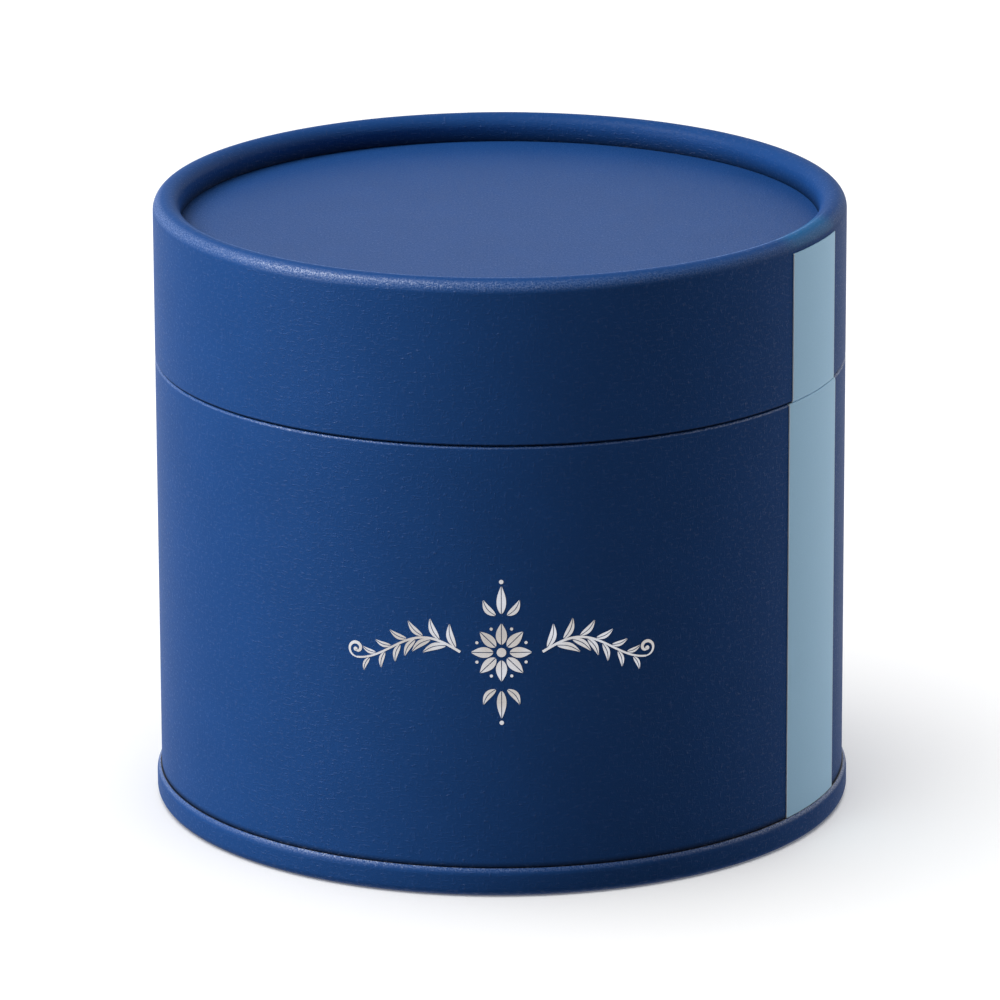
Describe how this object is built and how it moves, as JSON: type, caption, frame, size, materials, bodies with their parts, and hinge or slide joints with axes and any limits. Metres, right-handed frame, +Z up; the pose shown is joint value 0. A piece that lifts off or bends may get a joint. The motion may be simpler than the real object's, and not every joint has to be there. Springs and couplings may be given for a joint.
{
  "type": "cylindrical gift tube box",
  "caption": "Round rolled-rim paper gift tube box with a lift-off lid on an inner neck, blue wrap and a light stripe.",
  "frame": {"origin": "centre of the foot's flat, on the surface that the box stands on", "axes": "+Z up along the tube's axis, front of the box towards -Y, stripe on the +X side"},
  "size_m": [0.0912, 0.0912, 0.0808],
  "materials": {
    "navy_wrap": "matte",
    "light_blue_paper": "matte",
    "white_paper": "matte",
    "greyboard": "matte"
  },
  "bodies": {
    "box": {"neck_tube": "greyboard", "neck_wrap": "white_paper", "inner_liner": "white_paper", "floor_liner": "white_paper", "sleeve_tube": "greyboard", "sleeve_wrap": "navy_wrap", "sleeve_stripe": "light_blue_paper", "base_hoop": "greyboard", "base_wrap": "navy_wrap", "base_disc": "greyboard", "base_disc_paper": "navy_wrap"},
    "lid": {"lid_tube": "greyboard", "lid_wrap": "navy_wrap", "lid_stripe": "light_blue_paper", "lid_disc": "greyboard", "lid_disc_paper": "navy_wrap", "lid_liner": "white_paper", "lid_ceiling_paper": "white_paper"}
  },
  "joints": [
    {"name": "lid_lift", "type": "slide", "parent": "box", "child": "lid", "axis": [0, 0, 1], "range_m": [0, 0.05]}
  ]
}
